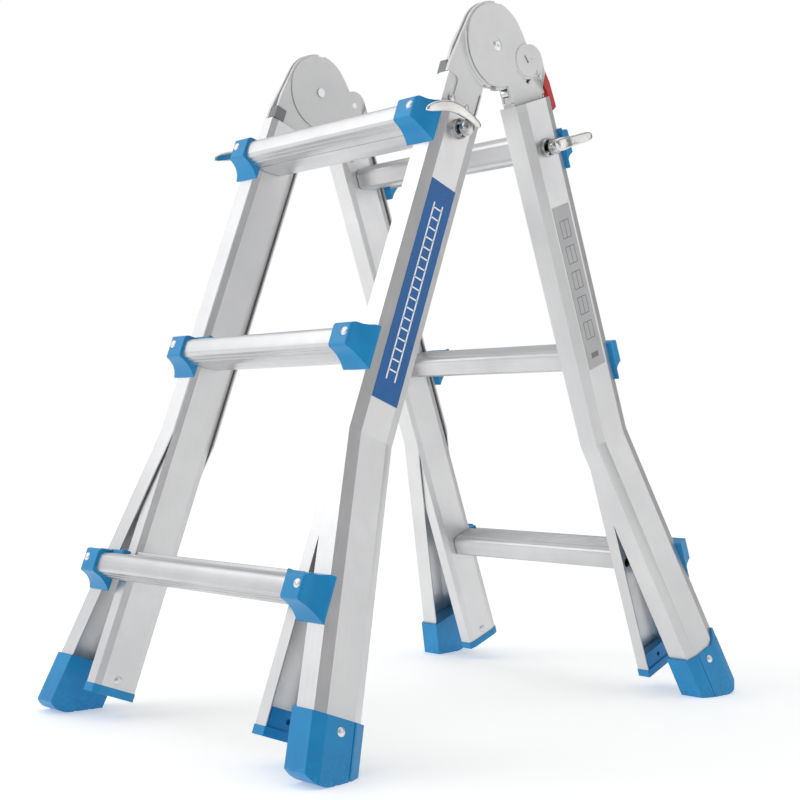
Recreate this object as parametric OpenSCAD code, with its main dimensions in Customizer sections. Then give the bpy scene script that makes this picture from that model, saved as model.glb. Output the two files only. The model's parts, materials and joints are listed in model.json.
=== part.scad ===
// Multi position ladder: two telescoping sections joined by a pair of locking hinges.
//
// Each section is drawn in its own frame and then stood up in place:
//   x runs across the ladder, y is the outward normal of the section (0 on the rails' inner faces),
//   z runs up the rails, with its zero on the hinge axis, so everything hangs at negative z.
// The rear section leans by rotating that frame; the front section is its mirror image.

/* [Stance] */
// Height of the hinge axis above the floor
hinge_h = 810; // [790:1:830]
// Lean of each section from the vertical
lean_deg = 20.4; // [18:0.1:22]

/* [Rungs] */
// Distance between rungs along a rail
rung_pitch = 280; // [260:1:300]
// Distance from the hinge axis to the first rung
first_rung = 135; // [132:1:140]
// Wall of a rung tube
rung_wall = 1.6; // [1.2:0.1:2]

/* [Outer rails] */
// Half of the width over the outer rails, above the bend
outer_half = 183; // [178:1:190]
// Depth of the outer channel from its web to its lips
outer_depth = 31; // [28:1:34]
// Width of the outer channel's web
outer_w = 66.2; // [64:0.1:70]
// Wall of the outer channel
outer_wall = 1.8; // [1.5:0.1:2.2]
// Distance from the hinge axis to the front outer rails' top ends
front_top = 110; // [100:1:114]
// Distance from the hinge axis to the rear outer rails' top ends
rear_top = 76; // [74:1:80]
// Distance from the hinge axis to the bend
bend_at = 515; // [500:1:530]
// Splay of the legs below the bend
splay_deg = 12.33; // [8:0.1:14]

/* [Inner rails] */
// Width of the inner channel's web
inner_w = 59.4; // [57:0.1:60]
// Gap between the channels on the ladder's inner side
inner_gap = 1.2; // [0.8:0.1:2]
// Depth of the inner channel
inner_depth = 19.2; // [17:0.1:20]
// Wall of the inner channel
inner_wall = 1.6; // [1.4:0.1:2]
// Distance from the hinge axis to the inner rails' top ends
inner_top = 72; // [71:1:74]
// Distance from the hinge axis to the inner rails' lower ends
inner_end = 846; // [840:1:848]

/* [Hinges] */
// Radius of the rear plates' discs
disc_r = 50; // [49:0.5:50]
// Radius of the front plates' discs
cup_r = 53; // [53:0.5:53.5]
// Radius of the hinge axle
axle_r = 6; // [5:0.5:8]
// Turn of the pawl from latched to released
pawl_lift = 7.5; // [7:0.5:8]

/* [Locks] */
// Radius of a lock pin
pin_r = 5.5; // [4.5:0.5:6]
// Travel of a lock pin
pin_travel = 9; // [8:0.5:10]

/* [Hidden] */
$fn = 48;
eps = 0.01;

// Colours
alu = "gainsboro";
alu_cast = "silver";
steel = "darkgray";
blue = "steelblue";
red = "firebrick";
dark = "dimgray";

// Rung places, measured down the rails
rungs = [for (i = [0:2]) first_rung + i * rung_pitch];

// Outer channel, shoulders included
shoulder = 13.7;
shoulder_drop = 4.8;
outer_lip = outer_half - outer_depth;
rail_low = 860;
hair = 0.05;

// Inner channel
inner_face = outer_half - 29.2;
inner_lo = outer_wall + inner_gap;
inner_hi = inner_lo + inner_w;
inner_lip = inner_face + inner_depth;
inner_shoulder = 9;
inner_drop = 2.4;

// Rivets, and the play around them in their holes
rivet_r = 3;
rivet_play = 0.05;
head_r = 5.2;
head_h = 1.6;
running = 0.06;

// Places along x of the hinge's layers
rear_in = [156.4, 159.2];
front_in = [159.5, 162.2];
core = [162.2, 166.6];
front_out = [166.6, 169.2];
rear_out = [169.5, 172.5];
rim_h = 1.7;

// Hinge legs inside the inner channels
leg_end = 118;
leg_lo = inner_lo + inner_wall + 0.6;
leg_hi = inner_hi - inner_wall - 0.6;
leg_rivet_at = 98;
leg_rivet_y = [20, 45];

// Ear on the rear plates that carries the pawl
ear = [56, -29];
ear_r = 20;
pawl_pin_r = 4;
notch_deg = 16;
notch_w = 10;
notch_depth = 6;

// Lock pin's axis on a rail
lock_y = 33;
pin_tip = inner_face + 3.4;
bush_top = outer_half + 4.4;
tab_x = bush_top + pin_travel + 0.6;
tab_t = 5;
tab_half = 6.5;
front_tab = [[14, -123.5], [14, -128.5], [17.5, -132], [62, -133.4], [93, -150], [99.5, -150],
    [103, -143.8], [100, -138.4], [67, -120.6], [17.5, -120]];

// Rung brackets
bracket_x = [142, 171];
rung_end = 151;
bracket_front = 97.5;
bracket_rivet_x = 163;

// Feet and end caps
foot_top = 812;
foot_skin = 3;
cap_h = 10;
cap_top = inner_end - 8;
foot_rivet_at = 833;
cap_rivet_at = 828;

// ---------------------------------------------------------------- frames

module rear() { translate([0, 0, hinge_h]) rotate([lean_deg, 0, 0]) children(); }
module front() { mirror([0, 1, 0]) rear() children(); }
module left() { mirror([1, 0, 0]) children(); }
module both() { children(); left() children(); }

// Turns an outline drawn in (y, z) into a slab that fills x from a to b
module slab(a, b) {
    translate([a, 0, 0]) rotate([90, 0, 90]) linear_extrude(b - a) children();
}

// A cylinder along x from a to b, centred on (y, z)
module bar_x(a, b, y, z, r) { translate([a, y, z]) rotate([0, 90, 0]) cylinder(r = r, h = b - a); }

// A cylinder along y from a to b, centred on (x, z)
module bar_y(a, b, x, z, r) { translate([x, a, z]) rotate([-90, 0, 0]) cylinder(r = r, h = b - a); }

// The frame of the splayed leg: same place at the bend, turned outwards below it
module leg_frame() {
    translate([outer_half, 0, -bend_at]) rotate([0, -splay_deg, 0])
        translate([-outer_half, 0, bend_at]) children();
}

// Sideways shift of the splayed leg at a distance down the rail
function splay_shift(v) = v > bend_at ? (v - bend_at) * tan(splay_deg) : 0;

// ---------------------------------------------------------------- outer section

// Closed outline of the outer channel in (x, y), grown by g
module outer_outline(g) {
    polygon([[outer_lip - g, -g], [outer_half - shoulder_drop + g * 0.6, -g],
        [outer_half + g, shoulder - g * 0.5], [outer_half + g, outer_w - shoulder + g * 0.5],
        [outer_half - shoulder_drop + g * 0.6, outer_w + g], [outer_lip - g, outer_w + g]]);
}

// A strip of the bent rail from x = xa to xb, and y = ya to yb, that ends at a distance down the rail
module bent_strip(xa, xb, ya, yb, top, low) {
    function turn(x) = [x, -bend_at + (x - outer_half) * tan(splay_deg / 2)];
    function end_point(x) = [outer_half + (x - outer_half) * cos(splay_deg) + (low - bend_at) * sin(splay_deg),
        -bend_at + (x - outer_half) * sin(splay_deg) - (low - bend_at) * cos(splay_deg)];
    translate([0, yb, 0]) rotate([90, 0, 0]) linear_extrude(yb - ya)
        polygon([[xa, -top], turn(xa), end_point(xa), end_point(xb), turn(xb), [xb, -top]]);
}

// All that lies to the right of the line from p to q, as wide as the ladder
module beyond(p, q) {
    translate(p) rotate(atan2(q.y - p.y, q.x - p.x)) translate([-300, -600]) square(600);
}

// What a shoulder takes off the bent rail: it lies outside the shoulder's plane on both stretches.
// The leg's plane is set out by a hair, so that no four faces of the rail meet in one point.
module shoulder_cut(p, q) {
    intersection() {
        translate([0, 0, -1000]) linear_extrude(1000) beyond(p, q);
        leg_frame() translate([hair, 0, -1000]) linear_extrude(1100) beyond(p, q);
    }
}

// The bent rail as a closed bar, grown by g, from x = lip outwards
module bent_bar(g, lip, top, low) {
    web = outer_half + g;
    edge = outer_half - shoulder_drop + g * 0.6;
    turn_y = shoulder - g * 0.5;
    difference() {
        bent_strip(lip, web, -g, outer_w + g, top, low);
        shoulder_cut([edge, -g], [web, turn_y]);
        shoulder_cut([web, outer_w - turn_y], [edge, outer_w + g]);
    }
}

module outer_rail(top) {
    difference() {
        bent_bar(0, outer_lip, top, rail_low);
        bent_bar(-outer_wall, outer_lip - 1, top - 1, rail_low + 1);
        // bore of the lock pin's bush
        bar_x(outer_half - 8, outer_half + 5, lock_y, -first_rung, pin_r + 1.6);
        // rivet holes of the brackets, through the outward flange
        for (v = rungs)
            bar_y(outer_w - 5, outer_w + 5, bracket_rivet_x + splay_shift(v), -v, rivet_r + rivet_play);
        // rivet hole of the foot
        leg_frame() bar_x(outer_half - 8, outer_half + 8, outer_w / 2, -foot_rivet_at, rivet_r + rivet_play);
    }
}

// Outline of an outer rung in (y, z): flat front, sloping tread, drawn around its fixing
module outer_rung_outline(g) {
    polygon([[68 + g, -18.5 + g], [68 + g, 15 - g], [89 - g * 0.4, 8.6 - g], [93.7 - g, 6 - g * 0.6],
        [93.7 - g, -12 + g * 0.6], [90.5 - g * 0.6, -14.6 + g], [74, -18.5 + g]]);
}

module outer_rung(v) {
    reach = rung_end + splay_shift(v);
    translate([0, 0, -v]) slab(-reach, reach) difference() {
        outer_rung_outline(0);
        outer_rung_outline(rung_wall);
    }
}

// Bracket: the side outline in (y, z) cut by the plan outline in (x, y)
module bracket(v) {
    shift = splay_shift(v);
    translate([shift, 0, -v]) difference() {
        intersection() {
            slab(bracket_x[0], 190) polygon([[outer_w + 0.1, -33], [outer_w + 0.1, 15.5],
                [72, 17.5], [88, 13], [94.5, 11], [bracket_front, 8],
                [bracket_front, -15], [94.5, -17.5], [76, -27]]);
            translate([0, 0, -50]) linear_extrude(100) polygon([[bracket_x[0], outer_w],
                [bracket_x[0], bracket_front], [bracket_x[1] - 2, bracket_front], [bracket_x[1], 96],
                [178, 82], [183.5, 72], [185, outer_w]]);
        }
        // socket for the rung's end
        slab(bracket_x[0] - 1, rung_end + 0.2) outer_rung_outline(-0.2);
        bar_y(outer_w - 1, bracket_front + 1, bracket_rivet_x, 0, rivet_r + rivet_play);
    }
}

module brackets() {
    for (v = rungs) both() bracket(v);
}

module foot_raw() {
    difference() {
        intersection() {
            leg_frame() translate([0, 0, -foot_top - 95]) linear_extrude(180) outer_outline(foot_skin);
            translate([0, -50, -foot_top - 400]) cube([500, 200, 400]);
        }
        // socket for the channel, with the core that fills it
        leg_frame() translate([0, 0, -foot_top - 50]) linear_extrude(140) difference() {
            outer_outline(0.2);
            offset_core();
        }
        leg_frame() bar_x(outer_half - 30, outer_half + 8, outer_w / 2, -foot_rivet_at, rivet_r + rivet_play);
    }
}

// Core of a foot inside the channel
module offset_core() {
    outer_outline(-outer_wall - 0.2);
    translate([outer_lip - 5, outer_wall + 0.2]) square([9, outer_w - 2 * outer_wall - 0.4]);
}

// The sole is cut level with the floor and its toe is rounded
toe_y = 340;
toe_r = 34;
module foot() {
    intersection() {
        rear() foot_raw();
        union() {
            translate([100, 0, 0]) cube([300, toe_y, 200]);
            translate([100, 0, toe_r]) cube([300, 600, 200]);
            bar_x(100, 400, toe_y, toe_r, toe_r);
        }
    }
}

module outer_rivets() {
    for (v = rungs) both() {
        x = bracket_rivet_x + splay_shift(v);
        bar_y(outer_w - outer_wall - 1.5, bracket_front, x, -v, rivet_r);
        bar_y(outer_w - outer_wall - 1.5, outer_w - outer_wall - 0.2, x, -v, 4.2);
        translate([x, bracket_front, -v]) rotate([-90, 0, 0])
            cylinder(r1 = head_r, r2 = head_r - 1.4, h = head_h);
    }
    both() leg_frame() {
        bar_x(outer_half - 18, outer_half + foot_skin, outer_w / 2, -foot_rivet_at, rivet_r);
        translate([outer_half + foot_skin, outer_w / 2, -foot_rivet_at]) rotate([0, 90, 0])
            cylinder(r1 = head_r, r2 = head_r - 1.4, h = head_h);
    }
}

module lock_bushes() {
    both() difference() {
        union() {
            bar_x(outer_half - 3.4, bush_top, lock_y, -first_rung, pin_r + 1.5);
            bar_x(outer_half + 0.05, bush_top, lock_y, -first_rung, pin_r + 4.5);
        }
        bar_x(outer_half - 10, bush_top + 5, lock_y, -first_rung, pin_r + running);
    }
}

// A flat bar in (y, z) from p to q, with round ends
module rounded_bar(p, q, r) {
    translate(p) circle(r = r);
    translate(q) circle(r = r);
    translate(p) rotate(atan2(q.y - p.y, q.x - p.x)) translate([0, -r]) square([norm(q - p), 2 * r]);
}

// Lock pin with its pull tab, drawn back from the inner rail. Its child is the tab's outline in (y, z).
module lock() {
    bar_x(pin_tip + 1.5, tab_x + 1, lock_y, -first_rung, pin_r);
    translate([pin_tip, lock_y, -first_rung]) rotate([0, 90, 0])
        cylinder(r1 = pin_r - 1.5, r2 = pin_r, h = 1.5);
    difference() {
        slab(tab_x, tab_x + tab_t) union() {
            translate([lock_y, -first_rung]) circle(r = 11);
            children();
        }
        // finger hollow on the outer face
        translate([tab_x + tab_t + 26, 82, -first_rung]) rotate([90, 0, 0])
            cylinder(r = 28, h = 40, center = true, $fn = 96);
    }
    bar_x(tab_x + tab_t - eps, tab_x + tab_t + 2, lock_y, -first_rung, 7.5);
}

module label_plate(top, length, lo, hi) {
    translate([outer_half + 0.05, lo, -top - length]) cube([0.35, hi - lo, length]);
}

// ---------------------------------------------------------------- inner frame

module inner_outline(g) {
    polygon([[inner_lip + g, inner_lo - g], [inner_face + inner_drop - g * 0.6, inner_lo - g],
        [inner_face - g, inner_lo + inner_shoulder - g * 0.5],
        [inner_face - g, inner_hi - inner_shoulder + g * 0.5],
        [inner_face + inner_drop - g * 0.6, inner_hi + g], [inner_lip + g, inner_hi + g]]);
}

module inner_section() {
    difference() {
        inner_outline(0);
        inner_outline(-inner_wall);
        translate([inner_lip - 5, inner_lo + inner_wall]) square([8, inner_w - 2 * inner_wall]);
    }
}

module inner_rail() {
    difference() {
        translate([0, 0, -inner_end]) linear_extrude(inner_end - inner_top) inner_section();
        // one lock bore at each rung
        for (v = rungs) bar_x(inner_face - 5, inner_face + 5, lock_y, -v, pin_r + 0.5);
        for (y = leg_rivet_y) bar_x(inner_face - 5, inner_face + 5, y, -leg_rivet_at, rivet_r + rivet_play);
        bar_x(inner_face - 5, inner_face + 5, lock_y, -cap_rivet_at, rivet_r + rivet_play);
    }
}

module inner_rung_outline(g) {
    polygon([[22 + g, -4 + g * 0.5], [22 + g, 12 - g * 0.5], [25 + g * 0.8, 17.5 - g * 0.8],
        [31 + g * 0.4, 20.3 - g], [61.8 - g, 20.3 - g], [61.8 - g, -14.3 + g],
        [46, -12.8 + g], [26.5 + g * 0.4, -7.2 + g]]);
}

module inner_rung(v) {
    reach = inner_face - 0.05;
    translate([0, 0, -v]) slab(-reach, reach) difference() {
        inner_rung_outline(0);
        inner_rung_outline(rung_wall);
    }
}

module end_cap() {
    difference() {
        union() {
            translate([0, 0, -cap_top - cap_h]) linear_extrude(cap_h) inner_outline(0.8);
            translate([inner_face + 4, inner_lo + 4, -cap_top - 1]) cube([14, inner_w - 8, 22]);
        }
        translate([0, 0, -inner_end - 0.1]) linear_extrude(60) difference() {
            inner_outline(0.1);
            cap_core();
        }
        bar_x(inner_face - 5, inner_lip + 5, lock_y, -cap_rivet_at, rivet_r + rivet_play);
    }
}

// Part of the end cap that stays inside the channel
module cap_core() {
    inner_outline(-inner_wall - 0.15);
    translate([inner_lip - 6, inner_lo + inner_wall + 0.15]) square([8, inner_w - 2 * inner_wall - 0.3]);
}

module inner_rivets() {
    both() {
        bar_x(inner_face, inner_face + 14, lock_y, -cap_rivet_at, rivet_r);
        translate([inner_face, lock_y, -cap_rivet_at]) rotate([0, -90, 0])
            cylinder(r1 = head_r, r2 = head_r - 1.4, h = head_h);
        for (y = leg_rivet_y) {
            bar_x(inner_face, rear_out[1], y, -leg_rivet_at, rivet_r);
            translate([inner_face, y, -leg_rivet_at]) rotate([0, -90, 0])
                cylinder(r1 = head_r, r2 = head_r - 1.4, h = head_h);
        }
    }
}

// Grey plug that closes the top end of a front inner rail around the hinge plates
module rail_plug() {
    difference() {
        translate([152.6, 46, -inner_top + 0.2]) cube([13.8, inner_hi - 46, 17]);
        slab(front_in[0] - rim_h - 0.2, front_in[1] + 0.2) square([118, 200], center = true);
        translate([164, inner_hi - 8, -inner_top + 12]) cube([5, 20, 20]);
    }
}

// ---------------------------------------------------------------- hinges

// Leg of a hinge plate in (y, z), from the disc down into the inner channel
module leg_outline(top_y, lo, hi) {
    polygon([[2.2, -20], [2.2, -inner_top + 1], [lo, -inner_top + 1], [lo, -leg_end], [hi, -leg_end],
        [hi, -inner_top + 1], [top_y[1], -inner_top + 1], [top_y[1], -60], [top_y[0], 9.4], [20, 9.4]]);
}

module leg_holes(a, b) {
    for (y = leg_rivet_y) bar_x(a - 1, b + 1, y, -leg_rivet_at, rivet_r + rivet_play);
}

// Notches for the pawl on a front disc, at the folded, A-frame and straight positions.
// The angle is taken from straight down, towards the section's inner side.
fold_stops = [0, 2 * lean_deg, 180];

module front_plate(x, lo, hi) {
    difference() {
        slab(x[0], x[1]) union() {
            circle(r = cup_r, $fn = 96);
            leg_outline([52.1, 62.6], lo, hi);
        }
        bar_x(x[0] - 1, x[1] + 1, 0, 0, axle_r + running);
        leg_holes(x[0], x[1]);
        for (a = fold_stops) rotate([-(notch_deg + a), 0, 0])
            translate([x[0] - 1, -notch_w / 2, -cup_r - 4]) cube([x[1] - x[0] + 2, notch_w, 4 + notch_depth]);
    }
}

// Raised face of a front plate that surrounds the rear disc like a cup
module cup_rim(x, lo, hi) {
    difference() {
        slab(x[0], x[1]) intersection() {
            union() {
                circle(r = cup_r, $fn = 96);
                leg_outline([52.1, 62.6], lo, hi);
            }
            polygon([[2.2, -200], [2.2, -40], [30, -12.5], [80, -12.5], [80, -200]]);
        }
        bar_x(x[0] - 1, x[1] + 1, 0, 0, disc_r + 1);
        leg_holes(x[0], x[1]);
    }
}

module front_outer_plate() {
    front_plate(front_out, leg_lo, leg_hi);
    cup_rim([front_out[1] - eps, front_out[1] + rim_h], leg_lo, leg_hi);
}

module front_inner_plate() {
    difference() {
        union() {
            front_plate(front_in, 13, 52);
            cup_rim([front_in[0] - rim_h, front_in[0] + eps], 13, 52);
        }
        slab(front_in[0] - 5, front_in[1] + 1) translate([58.6, -inner_top - 1]) square([10, 40]);
    }
}

module rear_plate(x, lo, hi) {
    difference() {
        slab(x[0], x[1]) union() {
            circle(r = disc_r, $fn = 96);
            leg_outline([49.5, 65], lo, hi);
            translate(ear) circle(r = ear_r);
            polygon([[ear[0] + ear_r, ear[1]], [ear[0] + ear_r, -47], [65, -64], [40, -64], [40, ear[1]]]);
        }
        bar_x(x[0] - 1, x[1] + 1, 0, 0, axle_r + rivet_play);
        bar_x(x[0] - 1, x[1] + 1, ear[0], ear[1], pawl_pin_r + rivet_play);
        leg_holes(x[0], x[1]);
    }
}

module rear_outer_plate() {
    difference() {
        rear_plate(rear_out, leg_lo, leg_hi);
        // windows beside the pawl
        slab(rear_out[0] - 1, rear_out[1] + 1) {
            translate([44.7, -26.1]) rotate(29) square([3, 9.5], center = true);
            polygon([[33.5, -48.4], [46.5, -50], [38.6, -55.4]]);
        }
    }
}

module axle() {
    bar_x(rear_in[0] - 1.2, rear_out[1] + 1.2, 0, 0, axle_r);
    translate([rear_out[1] + 0.05, 0, 0]) rotate([0, 90, 0]) cylinder(r1 = axle_r + 1.6, r2 = axle_r, h = 1.6);
    translate([rear_in[0] - 0.05, 0, 0]) rotate([0, -90, 0]) cylinder(r1 = axle_r + 1.6, r2 = axle_r, h = 1.6);
}

// Distance bushes between the rear plates: the crotch bush and the pawl pin
module spacer_bushes() {
    both() {
        bar_x(rear_in[1] + 0.05, rear_out[0] - 0.05, 5.4, -58.6, 4.6);
        bar_x(rear_in[0], rear_out[1] + 1.2, ear[0], ear[1], pawl_pin_r);
    }
}

// Pawl: a curved arm round the front disc, with a nose that drops into a notch
module pawl_outline() {
    difference() {
        union() {
            intersection() {
                difference() {
                    circle(r = 61.5, $fn = 96);
                    circle(r = cup_r + 1.2, $fn = 96);
                }
                polygon([[0, 0], [90 * sin(11.5), -90 * cos(11.5)], [70, -70], [90 * sin(64), -90 * cos(64)]]);
            }
            translate(ear) circle(r = 8.6);
            rotate(notch_deg) translate([-3, -58]) square([6, 58 - 48.6]);
        }
        circle(r = 46, $fn = 96);
    }
}

module pawl_turn(deg) {
    translate([0, ear[0], ear[1]]) rotate([deg, 0, 0]) translate([0, -ear[0], -ear[1]]) children();
}

module pawl() {
    x = [core[0] - 2.4, core[1] + 2.4];
    pawl_turn(pawl_lift) difference() {
        union() {
            slab(x[0], x[1]) pawl_outline();
            // tail that holds the release lever
            slab(core[0] - 1, core[1] + 1) polygon([[60, -22], [66, -25], [79, -55], [74, -58], [58, -36]]);
        }
        bar_x(x[0] - 1, x[1] + 1, ear[0], ear[1], pawl_pin_r + running);
    }
}

module release_lever() {
    difference() {
        slab(core[0] - 2.6, core[1] + 2.6) polygon([[71.5, -44], [80, -43], [84.5, -60], [86.5, -92],
            [79, -95], [75, -72], [69, -52]]);
        pawl_turn(pawl_lift) slab(core[0] - 1.1, core[1] + 1.1)
            polygon([[60, -22], [66.1, -25], [79.1, -55], [74, -58.1], [58, -36]]);
    }
}

// Bent wire that steadies the pawl, held between the rear plates
module pawl_spring() {
    x = (core[0] + core[1]) / 2;
    bar_x(rear_in[1] + 0.05, rear_out[0] - 0.05, 50, -76, 1.2);
    translate([x, 50, -76]) rotate([60, 0, 0]) cylinder(r = 0.8, h = 14);
}

// ---------------------------------------------------------------- assembly

color(alu) front() left() inner_rail();  // front_inner_rail_left
color(alu) front() inner_rail();  // front_inner_rail_right
color(alu) front() inner_rung(rungs[0]);  // front_inner_rung_top
color(alu) front() inner_rung(rungs[1]);  // front_inner_rung_middle
color(alu) front() inner_rung(rungs[2]);  // front_inner_rung_bottom
color(blue) front() both() end_cap();  // front_inner_end_caps
color(steel) front() inner_rivets();  // front_inner_rivets
color(dark) front() both() rail_plug();  // front_rail_plugs
color(alu_cast) front() left() front_outer_plate();  // front_hinge_outer_plate_left
color(alu_cast) front() front_outer_plate();  // front_hinge_outer_plate_right
color(alu_cast) front() left() front_inner_plate();  // front_hinge_inner_plate_left
color(alu_cast) front() front_inner_plate();  // front_hinge_inner_plate_right

color(alu) rear() left() inner_rail();  // rear_inner_rail_left
color(alu) rear() inner_rail();  // rear_inner_rail_right
color(alu) rear() inner_rung(rungs[0]);  // rear_inner_rung_top
color(alu) rear() inner_rung(rungs[1]);  // rear_inner_rung_middle
color(alu) rear() inner_rung(rungs[2]);  // rear_inner_rung_bottom
color(blue) rear() both() end_cap();  // rear_inner_end_caps
color(steel) rear() inner_rivets();  // rear_inner_rivets
color(dark) rear() spacer_bushes();  // hinge_spacer_bushes
color(steel) rear() both() pawl_spring();  // hinge_pawl_springs
color(alu_cast) rear() left() rear_outer_plate();  // rear_hinge_outer_plate_left
color(alu_cast) rear() rear_outer_plate();  // rear_hinge_outer_plate_right
color(alu_cast) rear() left() rear_plate(rear_in, 13, 52);  // rear_hinge_inner_plate_left
color(alu_cast) rear() rear_plate(rear_in, 13, 52);  // rear_hinge_inner_plate_right
color(steel) rear() left() axle();  // hinge_axle_left
color(steel) rear() axle();  // hinge_axle_right
color(steel) rear() left() pawl();  // hinge_pawl_left
color(steel) rear() pawl();  // hinge_pawl_right
color(red) rear() left() release_lever();  // release_lever_left
color(red) rear() release_lever();  // release_lever_right

color(alu) front() left() outer_rail(front_top);  // front_outer_rail_left
color(alu) front() outer_rail(front_top);  // front_outer_rail_right
color(alu) front() outer_rung(rungs[0]);  // front_outer_rung_top
color(alu) front() outer_rung(rungs[1]);  // front_outer_rung_middle
color(alu) front() outer_rung(rungs[2]);  // front_outer_rung_bottom
color(blue) front() brackets();  // front_rung_brackets
color(blue) mirror([0, 1, 0]) left() foot();  // front_foot_left
color(blue) mirror([0, 1, 0]) foot();  // front_foot_right
color(steel) front() outer_rivets();  // front_outer_rivets
color(steel) front() lock_bushes();  // front_lock_bushes
color(alu_cast) front() left() lock() polygon(front_tab);  // front_lock_left
color(alu_cast) front() lock() polygon(front_tab);  // front_lock_right
color("royalblue") front() label_plate(207, 266, 12.5, 52);  // front_label

color(alu) rear() left() outer_rail(rear_top);  // rear_outer_rail_left
color(alu) rear() outer_rail(rear_top);  // rear_outer_rail_right
color(alu) rear() outer_rung(rungs[0]);  // rear_outer_rung_top
color(alu) rear() outer_rung(rungs[1]);  // rear_outer_rung_middle
color(alu) rear() outer_rung(rungs[2]);  // rear_outer_rung_bottom
color(blue) rear() brackets();  // rear_rung_brackets
color(blue) left() foot();  // rear_foot_left
color(blue) foot();  // rear_foot_right
color(steel) rear() outer_rivets();  // rear_outer_rivets
color(steel) rear() lock_bushes();  // rear_lock_bushes
color(alu_cast) rear() left() lock() rounded_bar([98, -137], [33, -135], tab_half);  // rear_lock_left
color(alu_cast) rear() lock() rounded_bar([98, -137], [33, -135], tab_half);  // rear_lock_right
color("lightgray") rear() label_plate(208, 211, 16, 49);  // rear_label
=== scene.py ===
# %% [markdown]
# # A multi position ladder
# The ladder is an A-frame of two telescoping sections, joined at the top by a pair of locking hinges.
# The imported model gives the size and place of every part. This script gives each part its finish,
# rounds the edges that a saw or a mould never leaves sharp, and models the small parts in detail:
# ribbed rungs, corner brackets, feet, pull locks, rivets, hinge plates and the printed labels.

# %% The frame
import json
import math
import bmesh
import bpy
from mathutils import Matrix, Vector


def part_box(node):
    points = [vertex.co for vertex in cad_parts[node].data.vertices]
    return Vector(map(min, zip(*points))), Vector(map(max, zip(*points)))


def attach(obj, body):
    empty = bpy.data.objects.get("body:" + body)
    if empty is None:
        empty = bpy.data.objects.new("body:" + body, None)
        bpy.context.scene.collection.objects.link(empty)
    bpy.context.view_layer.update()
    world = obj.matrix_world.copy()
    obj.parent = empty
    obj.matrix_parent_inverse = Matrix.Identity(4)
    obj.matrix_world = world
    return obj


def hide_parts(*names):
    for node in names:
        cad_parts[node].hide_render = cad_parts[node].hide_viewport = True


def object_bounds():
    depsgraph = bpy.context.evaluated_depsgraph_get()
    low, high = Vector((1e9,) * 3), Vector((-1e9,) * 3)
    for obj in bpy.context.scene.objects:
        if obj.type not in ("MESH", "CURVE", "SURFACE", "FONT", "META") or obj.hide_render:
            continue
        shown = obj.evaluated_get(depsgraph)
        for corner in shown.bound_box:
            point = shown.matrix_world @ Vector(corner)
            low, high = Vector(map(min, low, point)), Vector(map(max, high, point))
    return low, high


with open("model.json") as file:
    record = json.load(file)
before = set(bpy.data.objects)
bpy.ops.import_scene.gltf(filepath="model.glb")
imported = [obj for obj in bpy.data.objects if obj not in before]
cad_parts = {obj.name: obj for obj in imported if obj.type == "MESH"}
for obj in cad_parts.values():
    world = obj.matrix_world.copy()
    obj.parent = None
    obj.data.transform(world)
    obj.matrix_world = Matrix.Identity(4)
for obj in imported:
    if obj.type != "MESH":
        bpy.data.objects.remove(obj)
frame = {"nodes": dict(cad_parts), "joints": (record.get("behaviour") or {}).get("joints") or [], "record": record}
cad_low, cad_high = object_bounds()
bodies = frame["record"]["behaviour"]["bodies"]
body_of = {node: body for body, nodes in bodies.items() for node in nodes}
joints = {joint["name"]: joint for joint in frame["joints"]}
print("nodes:", len(body_of), "bodies:", len(bodies))

# %% [markdown]
# Each section of the ladder is easiest to think about lying straight: x runs across it, y is its
# outward side, and z runs up the rails from the hinge axis. The joints say how it stands: the fold's
# pivot gives the hinge axis, and the slide's direction gives the lean. One matrix then carries a
# part from that straight drawing to its place, and the front section is the rear one mirrored.

# %% Places of the two sections
MM = 0.001
HINGE_Z = joints["ladder_fold"]["pos_m"][2]
slide = Vector(joints["rear_extension"]["axis"])
LEAN = math.atan2(slide.y, -slide.z)
REAR = Matrix.Translation((0, 0, HINGE_Z)) @ Matrix.Rotation(LEAN, 4, "X")
FRONT = Matrix.Scale(-1, 4, (0, 1, 0)) @ REAR
PLACES = {"front": FRONT, "rear": REAR}
BEND = 515 * MM
SPLAY = math.radians(12.33)
OUTER_HALF = 183
LEG = (Matrix.Translation((OUTER_HALF * MM, 0, -BEND)) @ Matrix.Rotation(-SPLAY, 4, "Y")
       @ Matrix.Translation((-OUTER_HALF * MM, 0, BEND)))
RUNGS = {"top": 135, "middle": 415, "bottom": 695}
SHIFT = {rung: max(0, down - 515) * math.tan(SPLAY) for rung, down in RUNGS.items()}
print("hinge axis at", round(HINGE_Z, 3), "m, lean", round(math.degrees(LEAN), 1), "degrees")

# %% [markdown]
# The camera stands low at the front right corner, a little under half the ladder's height, and
# looks very slightly up. A 62 mm lens from that distance keeps the rails nearly parallel.

# %% Camera
camera_data = bpy.data.cameras.new("camera")
camera_data.lens = 62.4
camera = bpy.data.objects.new("camera", camera_data)
bpy.context.scene.collection.objects.link(camera)
camera.location = (1.2952, -1.2254, 0.3482)
looking = Vector((-0.72569, 0.68770, 0.02093))
camera.rotation_euler = looking.to_track_quat("-Z", "Y").to_euler()
bpy.context.scene.camera = camera

# %% [markdown]
# ## Finishes
# A material is a small network. The helper below adds one node, and takes sockets, numbers and
# colours for its inputs, so that each finish reads as a short list of steps.

# %% Helpers for materials
def add(tree, kind, inputs=None, **settings):
    made = tree.nodes.new(kind)
    for name, value in settings.items():
        setattr(made, name, value)
    for name, value in (inputs or {}).items():
        if isinstance(value, bpy.types.NodeSocket):
            tree.links.new(value, made.inputs[name])
        else:
            made.inputs[name].default_value = value
    return made


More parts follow.
